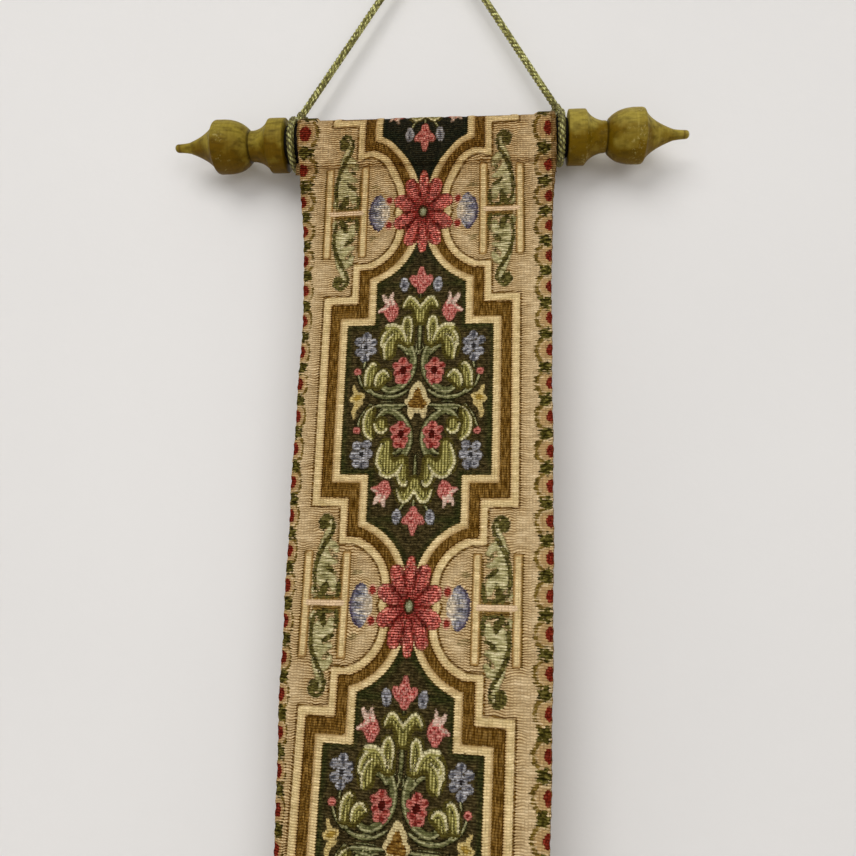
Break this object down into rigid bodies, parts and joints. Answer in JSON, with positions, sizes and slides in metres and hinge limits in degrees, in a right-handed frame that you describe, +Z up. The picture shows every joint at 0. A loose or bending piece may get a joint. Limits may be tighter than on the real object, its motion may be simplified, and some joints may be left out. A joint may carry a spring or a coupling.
{
  "type": "tapestry bell pull with its rod",
  "caption": "Long woven tapestry strip sewn into a sleeve round a turned rod with olive finials, hung from one twisted cord.",
  "frame": {"origin": "the underside of the cord at its apex, where the hook carries it", "axes": "+X to the right along the rod, +Y towards the wall, +Z up"},
  "size_m": [0.256, 0.0341, 0.939],
  "materials": {
    "tapestry": "jacquard-woven cotton tapestry, ribbed, matt",
    "dowel": "black-stained wood, satin",
    "finial": "turned wood, olive-green paint, satin, scuffed",
    "cord": "twisted cord of gold metallic thread",
    "binding": "a few turns of gold thread"
  },
  "bodies": {
    "root": {"cloth": "tapestry", "dowel": "dowel", "finial_left": "finial", "finial_right": "finial", "hanging_cord": "cord", "cord_binding_left": "binding", "cord_binding_right": "binding"}
  },
  "joints": []
}
